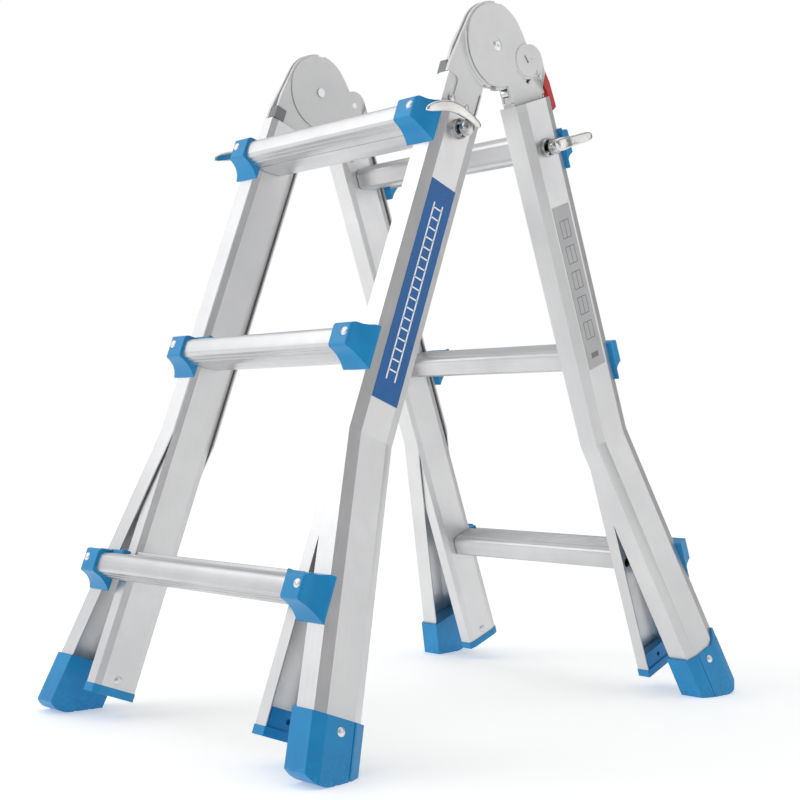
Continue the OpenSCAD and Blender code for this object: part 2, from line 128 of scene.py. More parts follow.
def new_finish(name):
    """A material with one shader, and the socket that gives a point's place on its object."""
    material = bpy.data.materials.new(name)
    material.use_nodes = True
    tree = material.node_tree
    shader = tree.nodes["Principled BSDF"]
    place = add(tree, "ShaderNodeTexCoord").outputs["Object"]
    return material, tree, shader, place


def noise(tree, vector, scale, detail=4.0, roughness=0.55):
    return add(tree, "ShaderNodeTexNoise", {"Vector": vector, "Scale": scale, "Detail": detail,
                                           "Roughness": roughness}).outputs["Fac"]


def spread(tree, value, low, high, to_low, to_high):
    """Maps a value from one range to another, and stops at the ends."""
    return add(tree, "ShaderNodeMapRange", {"Value": value, "From Min": low, "From Max": high,
                                            "To Min": to_low, "To Max": to_high}).outputs["Result"]


def blend_colours(tree, factor, first, second):
    mix = add(tree, "ShaderNodeMix", data_type="RGBA")
    tree.links.new(factor, mix.inputs["Factor"])
    for name, colour in (("A", first), ("B", second)):
        socket = [s for s in mix.inputs if s.name == name and s.type == "RGBA"][0]
        if isinstance(colour, bpy.types.NodeSocket):
            tree.links.new(colour, socket)
        else:
            socket.default_value = (*colour, 1)
    return [s for s in mix.outputs if s.type == "RGBA"][0]


def maths(tree, operation, first, second):
    """One step of arithmetic on two sockets or numbers."""
    made = add(tree, "ShaderNodeMath", operation=operation)
    for socket, value in zip(made.inputs, (first, second)):
        if isinstance(value, bpy.types.NodeSocket):
            tree.links.new(value, socket)
        else:
            socket.default_value = value
    return made.outputs[0]


def relief(tree, shader, height, distance, strength=1.0):
    bump = add(tree, "ShaderNodeBump", {"Height": height, "Distance": distance, "Strength": strength})
    tree.links.new(bump.outputs["Normal"], shader.inputs["Normal"])


# %% [markdown]
# Extruded aluminium carries fine lines along the bar, left by the die, and soft clouds where hands
# and packing have rubbed it. The lines are noise that is stretched along the bar. The rails lean and
# their legs splay, so the coordinates are first turned upright and then sheared back below the bend.

# %% Extruded aluminium
RAIL_LIGHT = (0.76, 0.76, 0.762)
RAIL_DARK = (0.67, 0.67, 0.675)


def upright(tree, place, section):
    """Coordinates measured across and along a section's rails."""
    turn = LEAN if section == "front" else -LEAN
    shift = Matrix.Rotation(turn, 3, "X") @ Vector((0, 0, -HINGE_Z))
    mapped = add(tree, "ShaderNodeMapping", {"Vector": place, "Rotation": (turn, 0, 0),
                                             "Location": shift}).outputs["Vector"]
    split = add(tree, "ShaderNodeSeparateXYZ", {"Vector": mapped})
    across = maths(tree, "ABSOLUTE", split.outputs["X"], 0.0)
    down = maths(tree, "MULTIPLY", split.outputs["Z"], -1.0)
    below_bend = maths(tree, "MAXIMUM", maths(tree, "SUBTRACT", down, BEND), 0.0)
    straight = maths(tree, "SUBTRACT", across, maths(tree, "MULTIPLY", below_bend, math.tan(SPLAY)))
    return add(tree, "ShaderNodeCombineXYZ", {"X": straight, "Y": split.outputs["Y"],
                                              "Z": split.outputs["Z"]}).outputs["Vector"]


def extruded_aluminium(name, vector_of, stretch, light=RAIL_LIGHT, dark=RAIL_DARK):
    material, tree, shader, place = new_finish(name)
    straight = vector_of(tree, place)
    drawn = add(tree, "ShaderNodeMapping", {"Vector": straight, "Scale": stretch}).outputs["Vector"]
    lines = noise(tree, drawn, 1.0, detail=6.0, roughness=0.7)
    clouds = noise(tree, place, 9.0, detail=3.0)
    marks = noise(tree, place, 60.0, detail=5.0, roughness=0.7)
    tone = maths(tree, "ADD", maths(tree, "MULTIPLY", lines, 0.35),
                 maths(tree, "MULTIPLY", clouds, 0.65))
    tree.links.new(blend_colours(tree, spread(tree, tone, 0.36, 0.64, 0, 1), dark, light),
                   shader.inputs["Base Color"])
    worn = maths(tree, "ADD", maths(tree, "MULTIPLY", marks, 0.5),
                 maths(tree, "MULTIPLY", lines, 0.5))
    tree.links.new(spread(tree, worn, 0.35, 0.65, 0.30, 0.44), shader.inputs["Roughness"])
    shader.inputs["Metallic"].default_value = 0.85
    relief(tree, shader, lines, 0.00006, 0.5)
    return material


RAIL_STRETCH = (700, 700, 5)
RUNG_STRETCH = (5, 700, 700)
RUNG_LIGHT = (0.69, 0.69, 0.695)
RUNG_DARK = (0.56, 0.56, 0.57)
rail_finish = {}
for section in PLACES:
    rail_finish[section] = extruded_aluminium(
        "rail_aluminium_" + section, lambda tree, place: upright(tree, place, section), RAIL_STRETCH)
rung_finish = extruded_aluminium("rung_aluminium", lambda tree, place: place, RUNG_STRETCH,
                                 RUNG_LIGHT, RUNG_DARK)

# %% [markdown]
# The hinge plates are pressed steel with a light grey powder coat, which shows a very fine orange
# peel. The pull handles are bright castings: nearly a mirror, but their surface rolls a little. Their
# bosses and cups are chrome with dark patches in its colour that are painted reflections, and the rivets are
# plated steel.

# %% Coated, cast and plated metal
def fine_metal(name, light, dark, metallic, rough, grain, depth, cloud=20.0):
    material, tree, shader, place = new_finish(name)
    clouds = noise(tree, place, cloud, detail=4.0)
    skin = noise(tree, place, grain, detail=2.0)
    tree.links.new(blend_colours(tree, spread(tree, clouds, 0.35, 0.65, 0, 1), dark, light),
                   shader.inputs["Base Color"])
    tree.links.new(spread(tree, clouds, 0.3, 0.7, rough[0], rough[1]), shader.inputs["Roughness"])
    shader.inputs["Metallic"].default_value = metallic
    relief(tree, shader, skin, depth)
    return material


plate_finish = fine_metal("powder_coat", (0.74, 0.74, 0.735), (0.68, 0.68, 0.68),
                          metallic=0.25, rough=(0.36, 0.46), grain=900.0, depth=0.00004)
bright_finish = fine_metal("bright_casting", (0.80, 0.79, 0.77), (0.60, 0.59, 0.58),
                           metallic=1.0, rough=(0.10, 0.20), grain=90.0, depth=0.0006)
# The chrome's dark patches are painted reflections: dark clouds in its colour that stand in for dark surroundings.
chrome_painted_reflection_finish = fine_metal("chrome_painted_reflections", (0.62, 0.62, 0.61), (0.14, 0.14, 0.15),
                           metallic=1.0, rough=(0.08, 0.20), grain=90.0, depth=0.0006, cloud=70.0)
steel_finish = fine_metal("plated_steel", (0.84, 0.845, 0.86), (0.68, 0.69, 0.71),
                          metallic=0.9, rough=(0.22, 0.34), grain=700.0, depth=0.00003)

# %% [markdown]
# The blue mouldings are satin polypropylene. The mould leaves a faint leather texture, the colour
# drifts a little where the plastic flowed, and the feet pick up pale scuffs near the floor.

# %% Moulded plastic
def moulded_plastic(name, light, dark, rough, scuff=0.0):
    material, tree, shader, place = new_finish(name)
    flow = noise(tree, place, 26.0, detail=3.0)
    leather = noise(tree, place, 1500.0, detail=2.0)
    colour = blend_colours(tree, spread(tree, flow, 0.3, 0.7, 0, 1), dark, light)
    if scuff:
        height = add(tree, "ShaderNodeSeparateXYZ", {"Vector": place}).outputs["Z"]
        near_floor = spread(tree, height, 0.0, 0.035, 1.0, 0.0)
        rubbed = spread(tree, noise(tree, place, 240.0, detail=6.0, roughness=0.75), 0.5, 0.72, 0.0, scuff)
        pale = tuple(min(1.0, c * 1.5 + 0.10) for c in light)
        colour = blend_colours(tree, maths(tree, "MULTIPLY", near_floor, rubbed), colour, pale)
    tree.links.new(colour, shader.inputs["Base Color"])
    tree.links.new(spread(tree, flow, 0.3, 0.7, rough[0], rough[1]), shader.inputs["Roughness"])
    shader.inputs["Specular IOR Level"].default_value = 0.4
    relief(tree, shader, leather, 0.00005)
    return material


BLUE = (0.010, 0.285, 0.60), (0.008, 0.235, 0.53)
blue_finish = moulded_plastic("blue_plastic", *BLUE, (0.30, 0.42))
foot_finish = moulded_plastic("blue_foot_plastic", *BLUE, (0.34, 0.46), scuff=0.5)
dark_finish = moulded_plastic("dark_plastic", (0.26, 0.27, 0.27), (0.20, 0.205, 0.21), (0.42, 0.55))
red_finish = moulded_plastic("red_plastic", (0.60, 0.035, 0.025), (0.48, 0.022, 0.018), (0.24, 0.34))
blue_film = moulded_plastic("blue_label", (0.010, 0.125, 0.38), (0.009, 0.108, 0.33), (0.26, 0.34))
grey_film = moulded_plastic("grey_label", (0.50, 0.50, 0.505), (0.44, 0.44, 0.445), (0.30, 0.40))
white_ink = moulded_plastic("white_ink", (0.95, 0.95, 0.96), (0.90, 0.90, 0.91), (0.30, 0.40))
grey_ink = moulded_plastic("grey_ink", (0.22, 0.22, 0.23), (0.17, 0.17, 0.18), (0.35, 0.45))

FINISHES = {"rung_aluminium": rung_finish, "cast_aluminium": plate_finish,
            "polished_aluminium": bright_finish, "plated_steel": steel_finish,
            "blue_plastic": blue_finish, "dark_plastic": dark_finish, "red_plastic": red_finish,
            "blue_label": blue_film, "grey_label": grey_film}
slot_of = {part["node"]: part["material_slot"] for part in frame["record"]["subparts"]}


def finish_of(node):
    if slot_of[node] == "rail_aluminium":
        return rail_finish["front" if node.startswith("front") else "rear"]
    if "_foot_" in node:
        return foot_finish
    return FINISHES[slot_of[node]]


# %% [markdown]
# ## Rounded edges
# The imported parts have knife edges, and a knife edge never catches the light. So each part is
# copied, its loose triangles are welded, flat faces are made whole again, and a narrow bevel runs
# along every edge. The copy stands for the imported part, which stays in place for the physics.

# %% Rounding tools
def pick(piece):
    bpy.ops.object.select_all(action="DESELECT")
    piece.hide_set(False)
    piece.select_set(True)
    bpy.context.view_layer.objects.active = piece


def in_edit_mode(piece, steps):
    """Runs edit mode steps with everything selected."""
    pick(piece)
    bpy.ops.object.mode_set(mode="EDIT")
    bpy.ops.mesh.select_all(action="SELECT")
    steps()
    bpy.ops.object.mode_set(mode="OBJECT")


def apply_modifier(piece, kind, **settings):
    pick(piece)
    modifier = piece.modifiers.new(kind.lower(), kind)
    for name, value in settings.items():
        setattr(modifier, name, value)
    bpy.ops.object.modifier_apply(modifier=modifier.name)


def round_edges(piece, width, segments=2, angle=25):
    apply_modifier(piece, "BEVEL", width=width, segments=segments, limit_method="ANGLE",
                   angle_limit=math.radians(angle), use_clamp_overlap=True, miter_outer="MITER_ARC")


def smooth_shading(piece, angle=40):
    pick(piece)
    bpy.ops.object.shade_smooth_by_angle(angle=math.radians(angle))
    apply_modifier(piece, "WEIGHTED_NORMAL", keep_sharp=True)


def finished(piece, node, material, stands_for=()):
    """Gives a finished piece its material and its body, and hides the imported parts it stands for."""
    piece.data.materials.clear()
    piece.data.materials.append(material)
    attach(piece, body_of[node])
    if stands_for:
        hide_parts(*stands_for)
    return piece


def rounded_copy(node, width, segments=2, angle=25, carve=None):
    """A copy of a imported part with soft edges. carve may cut or add to the copy before it is rounded."""
    source = frame["nodes"][node]
    piece = bpy.data.objects.new(node + "_rounded", source.data.copy())
    bpy.context.scene.collection.objects.link(piece)

    def weld():
        bpy.ops.mesh.remove_doubles(threshold=0.00002)
        bpy.ops.mesh.dissolve_limited(angle_limit=math.radians(1))
    in_edit_mode(piece, weld)
    if carve:
        carve(piece)
    round_edges(piece, width, segments, angle)
    smooth_shading(piece)
    return finished(piece, node, finish_of(node), [node])


# %% [markdown]
# New pieces are drawn in millimetres, in the straight frame of a section. Most of them are an outline
# that is pulled out into a bar, so one helper does that: it starts from a filled circle, moves its
# points to the outline's corners and extrudes. Two bars that cross, kept only where they overlap,
# give a shape with one outline from the side and another from above.

# %% Shaping tools
ORDER = {"x": (2, 0, 1), "y": (0, 2, 1), "z": (0, 1, 2)}


def bar(name, corners, start, end, along="x"):
    """A closed bar that runs along one axis. The corners of its outline are in the other two."""
    bpy.ops.object.select_all(action="DESELECT")
    bpy.ops.mesh.primitive_circle_add(vertices=len(corners), fill_type="NGON")
    piece = bpy.context.active_object
    piece.name = name
    for vertex, corner in zip(piece.data.vertices, corners):
        point = (*corner, start)
        vertex.co = [point[i] * MM for i in ORDER[along]]
    run = [(end - start) * MM * (axis == along) for axis in "xyz"]

    def pull():
        bpy.ops.mesh.extrude_region_move(TRANSFORM_OT_translate={"value": run})
        bpy.ops.mesh.select_all(action="SELECT")
        bpy.ops.mesh.normals_make_consistent(inside=False)
    in_edit_mode(piece, pull)
    return piece


def bow(start, pull, end, steps=8):
    """Points of a curve from start to end that is drawn towards one point on its way."""
    points = []
    for i in range(steps + 1):
        t = i / steps
        points.append(tuple((1 - t) ** 2 * a + 2 * t * (1 - t) * b + t * t * c
                            for a, b, c in zip(start, pull, end)))
    return points


def combine(piece, other, operation):
    """Cuts, keeps or adds another piece, which is then thrown away."""
    apply_modifier(piece, "BOOLEAN", operation=operation, object=other, solver="EXACT")
    bpy.data.objects.remove(other)
    return piece


def turned(name, half_section, steps=32):
    """A round piece about z from (radius, height) points that start and end on the axis."""
    bpy.ops.object.select_all(action="DESELECT")
    bpy.ops.mesh.primitive_circle_add(vertices=len(half_section), fill_type="NOTHING")
    piece = bpy.context.active_object
    piece.name = name
    for vertex, (radius, height) in zip(piece.data.vertices, half_section):
        vertex.co = (radius * MM, 0, height * MM)

    def spin():
        bpy.ops.mesh.spin(steps=steps, angle=2 * math.pi, center=(0, 0, 0), axis=(0, 0, 1))
        bpy.ops.mesh.select_all(action="SELECT")
        bpy.ops.mesh.remove_doubles(threshold=0.000002)
        bpy.ops.mesh.delete_loose()
        bpy.ops.mesh.select_all(action="SELECT")
        bpy.ops.mesh.normals_make_consistent(inside=False)
    in_edit_mode(piece, spin)
    return piece


def swept(name, rings):
    """A closed skin over rings of points, each ring pulled out of the one before it."""
    bpy.ops.object.select_all(action="DESELECT")
    bpy.ops.mesh.primitive_circle_add(vertices=len(rings[0]), fill_type="NGON")
    piece = bpy.context.active_object
    piece.name = name
    for vertex, point in zip(piece.data.vertices, rings[0]):
        vertex.co = Vector(point) * MM
    for before, ring in zip(rings, rings[1:]):
        in_edit_mode(piece, lambda: pull_cap(piece))
        for vertex in piece.data.vertices:
            if vertex.select:
                nearest = min(range(len(ring)), key=lambda i: (vertex.co - Vector(before[i]) * MM).length)
                vertex.co = Vector(ring[nearest]) * MM
    in_edit_mode(piece, lambda: bpy.ops.mesh.normals_make_consistent(inside=False))
    return piece


def pull_cap(piece):
    """Extrudes the cap that the last ring left, and keeps only the new cap selected."""
    mesh = bmesh.from_edit_mesh(piece.data)
    mesh.faces.ensure_lookup_table()
    bpy.ops.mesh.select_all(action="DESELECT")
    cap = max(mesh.faces, key=lambda face: (len(face.verts), face.index))
    cap.select_set(True)
    bmesh.update_edit_mesh(piece.data)
    bpy.ops.mesh.extrude_region_move(TRANSFORM_OT_translate={"value": (0, 0, 0)})


def twin(piece, name=None):
    """A copy on the other side of the ladder."""
    other = bpy.data.objects.new(name or piece.name + "_twin", piece.data.copy())
    bpy.context.scene.collection.objects.link(other)
    return moved(other, Matrix.Scale(-1, 4, (1, 0, 0)))


def moved(piece, matrix):
    """Moves the mesh itself, so that the object stays at the origin, and keeps its faces outwards."""
    piece.data.transform(matrix)
    if matrix.determinant() < 0:
        piece.data.flip_normals()
    return piece


def joined(pieces, name):
    bpy.ops.object.select_all(action="DESELECT")
    for piece in pieces:
        piece.select_set(True)
    bpy.context.view_layer.objects.active = pieces[0]
    bpy.ops.object.join()
    pieces[0].name = name
    return pieces[0]


def at_side(piece, side):
    return moved(piece, Matrix.Scale(-1, 4, (1, 0, 0))) if side == "left" else piece


# %% [markdown]
# Rails get the widest rounding, since an extrusion die has soft corners. Plates and small metal
# parts get a hair, and mouldings something in between. Feet, hinge plates, rungs, brackets, locks
# and rivets come later, because they need more than rounding.

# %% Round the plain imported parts
ROUNDING = {"rail": 0.7, "caps": 0.8, "lever": 0.8, "pawl": 0.4, "plugs": 1.6}
LATER = ("rung", "brackets", "foot", "rivets", "lock", "bushes", "plate", "axle")
for node in sorted(body_of):
    words = node.split("_")
    width = [w for word, w in ROUNDING.items() if word in words and "springs" not in words]
    faceted = "rail" in words or "caps" in words
    if width:
        rounded_copy(node, width[0] * MM, angle=12 if faceted else 25)
    elif not any(word in words for word in LATER) or node == "hinge_spacer_bushes":
        frame["nodes"][node].data.materials.clear()
        frame["nodes"][node].data.materials.append(finish_of(node))

# %% [markdown]
# ## Rungs
# A rung is an extruded tube with a ribbed tread. The ribs are part of the die, so they are part of the
# outline here too: along the top edge the outline steps down into narrow grooves. The outer rung has
# a gently crowned front, which is what makes its highlight fade from top to bottom. An inner rung's ends
# are drawn in a little around a tenon, which leaves a fine seam at the rail, and a bore for the lock pins
# runs through it.

# %% Rungs
def grooved(start, end, count, width=1.6, depth=1.1):
    """Points from start to end with evenly spaced grooves, cut to the right of the way."""
    along = (Vector(end) - Vector(start)).normalized()
    inwards = Vector((along.y, -along.x)) * depth
    pitch = (Vector(end) - Vector(start)).length / (count + 0.5)
    points = [Vector(start)]
    for i in range(count):
        near = Vector(start) + along * (pitch * (i + 0.75) - width / 2)
        far = near + along * width
        points += [near, near + inwards + along * 0.3, far + inwards - along * 0.3, far]
    return [tuple(point) for point in points + [Vector(end)]]


def outer_rung_outline():
    return (grooved((68, 15), (88.2, 8.85), 5) + bow((88.2, 8.85), (93.2, 7.2), (93.7, 2.5), 5)[1:]
            + bow((93.7, 2.5), (94.1, -5), (93.0, -12), 5)[1:] + [(90.5, -14.6)]
            + grooved((89.5, -14.9), (75, -18.3), 2, 1.8, 1.1) + [(68, -18.5)])


def inner_rung_outline():
    return ([(22, -4), (22, 12)] + bow((22, 12), (23, 19.5), (31, 20.3), 6)[1:]
            + grooved((33, 20.3), (60.8, 20.3), 6) + [(61.8, 19.3), (61.8, -14.3), (46, -12.8)]
            + bow((46, -12.8), (33, -10), (24.5, -6.8), 4)[1:])


def shrunk(corners, amount):
    centre = Vector([sum(c[i] for c in corners) / len(corners) for i in (0, 1)])
    return [tuple(Vector(c) + (centre - Vector(c)).normalized() * amount) for c in corners]


SEAM = 1.2
LOCK_Y, PIN_BORE = 33, 6.3


def circle(y, z, radius, steps=24):
    turns = [2 * math.pi * i / steps for i in range(steps)]
    return [(y + radius * math.cos(turn), z + radius * math.sin(turn)) for turn in turns]


for section, place in PLACES.items():
    for rung, down in RUNGS.items():
        level = place @ Matrix.Translation((0, 0, -down * MM))
        for kind, corners in (("outer", outer_rung_outline()), ("inner", inner_rung_outline())):
            node = section + "_" + kind + "_rung_" + rung
            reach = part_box(node)[1].x / MM
            inset = SEAM if kind == "inner" else 0
            tube = bar(node + "_ribbed", corners, -reach + inset, reach - inset)
            round_edges(tube, 0.35 * MM, 1, 30)
            if kind == "inner":
                tenon = bar("tenon", shrunk(corners, 1.6), -reach, reach)
                for piece in (tube, tenon):
                    bore = bar("bore", circle(LOCK_Y, 0, PIN_BORE), -reach - 5, reach + 5)
                    combine(piece, bore, "DIFFERENCE")
                tube = joined([tube, tenon], tube.name)
            moved(tube, level)
            smooth_shading(tube, 35)
            finished(tube, node, finish_of(node), [node])
print("rungs:", 4 * len(RUNGS))

# %% [markdown]
# ## Corner brackets
# Each end of an outer rung sits in a moulded blue bracket that wraps the rail's edge. It is broad at the
# rung and flows back to the rail in two hollow curves, one seen from below and one from the side.
# So it is two crossing bars, kept where they overlap, with a small tongue that lies on the tread.

# %% Corner brackets
BRACKET_IN, BRACKET_FRONT, FLANGE = 142, 97.3, 66.35


def bracket(shift):
    side = ([(FLANGE, 17.0), (71.5, 17.5)] + bow((71.5, 17.5), (80, 13.6), (89, 13.2), 6)[1:]
            + bow((89, 13.2), (96.6, 12.4), (BRACKET_FRONT, 7.6), 5)[1:]
            + bow((BRACKET_FRONT, -13.6), (97, -16.6), (94, -17.4), 4)
            + bow((94, -17.4), (78, -20.5), (68, -32.4), 9)[1:] + [(FLANGE, -33)])
    plan = ([(BRACKET_IN, FLANGE), (BRACKET_IN, BRACKET_FRONT), (168, BRACKET_FRONT)]
            + bow((168, BRACKET_FRONT), (170.8, 97), (171.6, 94), 4)[1:]
            + bow((171.6, 94), (174, 76), (184, 68.6), 9)[1:] + [(184.8, FLANGE)])
    block = bar("bracket", side, BRACKET_IN - 4, 190)
    combine(block, bar("plan", plan, -40, 30, "z"), "INTERSECT")
    tongue = bar("tongue", [(118, 10.5), (118, 17.4), (119.6, 18.3), (123, 16.6), (146, 16.6), (146, 10.5)],
                 67.2, 78.5, "y")
    for piece in (block, tongue):
        in_edit_mode(piece, lambda: bpy.ops.mesh.dissolve_limited(angle_limit=math.radians(1)))
        round_edges(piece, 0.9 * MM, 3, 20)
    return moved(joined([block, tongue], "bracket"), Matrix.Translation((shift * MM, 0, 0)))


for section, place in PLACES.items():
    node = section + "_rung_brackets"
    made = []
    for rung, down in RUNGS.items():
        right = bracket(SHIFT[rung])
        for piece in (twin(right), right):
            made.append(moved(piece, place @ Matrix.Translation((0, 0, -down * MM))))
    brackets = joined(made, node + "_moulded")
    smooth_shading(brackets, 35)
    finished(brackets, node, finish_of(node), [node])

# %% [markdown]
# ## Rivets and axle heads
# A blind rivet has a low dome with a small dimple where its stem broke off. That is a round shape, so
# half of its section is spun about its axis. One head is made, and copies are turned to where they sit.

# %% Rivets and axle heads
DOME = [(0, 1.2), (0.9, 1.2), (1.3, 1.75), (2.8, 1.6), (4.2, 1.05), (5.1, 0.4), (5.2, -0.4)]
RIVET = DOME + [(2.95, -0.4), (2.95, -13.5), (0, -13.5)]
AXLE = [(0, 1.0), (2.0, 1.0), (2.8, 1.5), (5.6, 1.35), (7.0, 0.5), (7.2, 0),
        (6.0, -0.2), (6.0, -18.4), (0, -18.4)]
BRACKET_RIVET_X = 163
FOOT_SKIN, FOOT_RIVET_DOWN = 3, 833
WEB_X, CAP_RIVET_DOWN = 153.75, 828
PLATE_RIVET_DOWN, PLATE_RIVET_YS = 98, (20, 45)
PLATE_FACE = {"front": 170.95, "rear": 172.55}
TO_X = Matrix.Rotation(math.radians(90), 4, "Y")
TO_MINUS_X = Matrix.Rotation(math.radians(-90), 4, "Y")
TO_Y = Matrix.Rotation(math.radians(-90), 4, "X")


def spot(x, y, z):
    return Matrix.Translation((x * MM, y * MM, z * MM))


def heads(node, places, half_section):
    """Round heads at each place on the right side, and their twins on the left, as one piece."""
    place = PLACES[node.split("_")[0]] if node.split("_")[0] in PLACES else REAR
    made = []
    for where in places:
        head = moved(turned("head", half_section), where)
        made += [head] if node.endswith(("_left", "_right")) else [twin(head), head]
    whole = joined(made, node + "_domed")
    if node.endswith("_left"):
        at_side(whole, "left")
    moved(whole, place)
    smooth_shading(whole, 50)
    return finished(whole, node, steel_finish, [node])


for section in PLACES:
    at_brackets = [spot(BRACKET_RIVET_X + SHIFT[rung], BRACKET_FRONT, -down) @ TO_Y
                   for rung, down in RUNGS.items()]
    at_foot = LEG @ spot(OUTER_HALF + FOOT_SKIN, 33.1, -FOOT_RIVET_DOWN) @ TO_X
    heads(section + "_outer_rivets", at_brackets + [at_foot], RIVET)
    at_cap = spot(WEB_X, 33, -CAP_RIVET_DOWN) @ TO_MINUS_X
    inside = [spot(WEB_X, y, -PLATE_RIVET_DOWN) @ TO_MINUS_X for y in PLATE_RIVET_YS]
    outside = [spot(PLATE_FACE[section], y, -PLATE_RIVET_DOWN) @ TO_X for y in PLATE_RIVET_YS]
    heads(section + "_inner_rivets", [at_cap] + inside + outside, RIVET)
for side in ("left", "right"):
    heads("hinge_axle_" + side, [spot(172.6, 0, 0) @ TO_X], AXLE)

# %% [markdown]
# ## Pull locks
# A lock is a spring pin with a bright cast handle: a round boss on the pin's axis, and a blade that runs
# out past the rung bracket so that a finger can hook behind it. The blade is a skin over a row of
# rings. The front handles pass over the boss in a curve and droop at their outer end, and the rear ones
# start at the boss. The pin goes into a cup on the rail, which leaves the boss room to travel.

# %% Pull locks
LOCK_Z = -RUNGS["top"]
BOSS_X = 192.8
BOSS = [(0, 9.6), (5.6, 9.4), (8.2, 8.2), (9.4, 6.2), (9.6, 0.6), (9.0, 0),
        (5.5, 0), (5.5, -35), (4, -36.5), (0, -36.5)]
CUP = [(5.6, -3.2), (5.6, 0.5), (9.9, 0.7), (9.9, 4.6), (10.4, 5.0), (11.2, 4.8), (11.9, 3.8),
       (12, 0.1), (7.0, 0), (7.0, -3.2)]
FRONT_BLADE = [(201, 17, -126.5, 0.9, 2.2), (201, 20, -126.3, 1.8, 3.8), (201.2, 28, -125.6, 2.6, 4.6),
               (201.6, 40, -125, 3.0, 5.2), (201.6, 52, -125, 3.0, 5.8), (201.2, 63, -126.4, 2.8, 6.8),
               (200.6, 74, -130.2, 2.6, 7.4), (200.2, 84, -136, 2.5, 7.2), (200, 93, -142.4, 2.5, 6.4),
               (200, 98.6, -146.6, 2.2, 4.8), (200, 101.6, -149, 1.2, 2.6)]
REAR_BLADE = [(201.4, 27, -134, 2.0, 6.0), (201.6, 33, -134.3, 4.4, 8.6), (201.6, 43, -134.6, 4.4, 8.4),
              (200.9, 52, -135, 3.6, 7.4), (200.3, 60, -135.4, 2.7, 6.5), (200, 78, -136, 2.5, 6.4),
              (200, 94, -136.6, 2.5, 6.3), (200, 100, -136.9, 2.2, 5.0), (200, 103.6, -137, 1.2, 2.6)]


def blade(stations, corners=20):
    """Rings along a row of stations: x, y, z, half thickness and half height."""
    rings = []
    for x, y, z, thick, high in stations:
        ring = []
        for i in range(corners):
            turn = 2 * math.pi * i / corners
            across, up = math.cos(turn), math.sin(turn)
            ring.append((x + thick * math.copysign(abs(across) ** 0.7, across), y,
                         z + high * math.copysign(abs(up) ** 0.7, up)))
        rings.append(ring)
    return swept("blade", rings)


for section, place in PLACES.items():
    for side in ("left", "right"):
        node = section + "_lock_" + side
        boss = moved(turned("boss", BOSS), spot(BOSS_X, LOCK_Y, LOCK_Z) @ TO_X)
        handle = blade(FRONT_BLADE if section == "front" else REAR_BLADE)
        apply_modifier(handle, "SUBSURF", levels=1, render_levels=1)
        boss.name, handle.name = node + "_boss", node + "_blade"
        for piece, finish in ((boss, chrome_painted_reflection_finish), (handle, bright_finish)):
            moved(at_side(piece, side), place)
            smooth_shading(piece, 45)
            finished(piece, node, finish, [node] if piece == handle else ())
    node = section + "_lock_bushes"
    cup = moved(turned("cup", CUP), spot(OUTER_HALF, LOCK_Y, LOCK_Z) @ TO_X)
    cups = moved(joined([twin(cup), cup], node + "_cup"), place)
    smooth_shading(cups, 40)
    finished(cups, node, chrome_painted_reflection_finish, [node])

# %% [markdown]
# ## Hinge plates
# The plates are pressed, so their edges roll over. The outer rear plate carries a raised round boss around
# the pawl's pin, with a slot and a few pressed lines. The outer front plate has a bead that follows the
# disc, made by a shallow groove beside it, and its leg has a shallow pocket along one edge.

# %% Hinge plates
PIN_Y, PIN_Z = 56, -29
EAR_Y, EAR_Z = 46.3, -27
FRONT_FACE, REAR_FACE = 170.9, 172.5
EAR_BOSS = [(0, 1.5), (18.4, 1.5), (19.8, 1.1), (20.1, 0.5), (20.1, -0.6), (0, -0.6)]
PIN_HEAD = [(0, 2.2), (3.0, 2.2), (3.8, 1.7), (4.0, 1.0), (0, 1.0)]
BEAD_GROOVE = [(54.2, 0.6), (54.8, -1.5), (57.5, -2.1), (66.0, 0.4)]


def pocket():
    """A wedge, deepest on its inner side, with one soft corner."""
    outline = [(63, -112), (63, -70)] + bow((49, -70), (43, -70), (43, -77), 6) + [(43, -112)]
    wedge = bar("pocket", [(171.5, 42), (168.8, 42), (170.8, 63), (171.5, 63)], -112, -68, "z")
    return combine(wedge, bar("outline", outline, 168, 172), "INTERSECT")


def press_front_plate(piece):
    """The pocket in the leg, and the groove that leaves a bead around the disc."""
    groove = moved(turned("groove", BEAD_GROOVE, 96), spot(FRONT_FACE, 0, 0) @ TO_X)
    for cutter in (pocket(), groove):
        combine(piece, moved(at_side(cutter, side), FRONT), "DIFFERENCE")


def pressed_line(curve, wide, low):
    """A cutter that follows a curve with one width, down to one depth."""
    left, right = [], []
    for before, after in zip(curve, curve[1:]):
        run = (Vector(after) - Vector(before)).normalized()
        across = Vector((-run.y, run.x)) * wide / 2
        left.append(tuple(Vector(before) + across))
        right.append(tuple(Vector(before) - across))
    left.append(tuple(Vector(curve[-1]) + across))
    right.append(tuple(Vector(curve[-1]) - across))
    return bar("pressed_line", left + right[::-1], low, 175)


def press_ear(piece):
    """The pressed lines of the ear: its slot, the seam below the boss and the lug beside the window."""
    slot = pressed_line([(42.4, -20.6), (44.2, -23.4), (46.8, -30.6)], 3.2, 171.6)
    seam = pressed_line(bow((51.5, -45.5), (60, -44), (65, -56), 8), 1.5, 171.4)
    lug = pressed_line(bow((23.6, -35.6), (27, -42), (35.5, -49.5), 8), 3.0, 171.7)
    for cutter in (slot, seam, lug):
        combine(piece, moved(at_side(cutter, side), REAR), "DIFFERENCE")


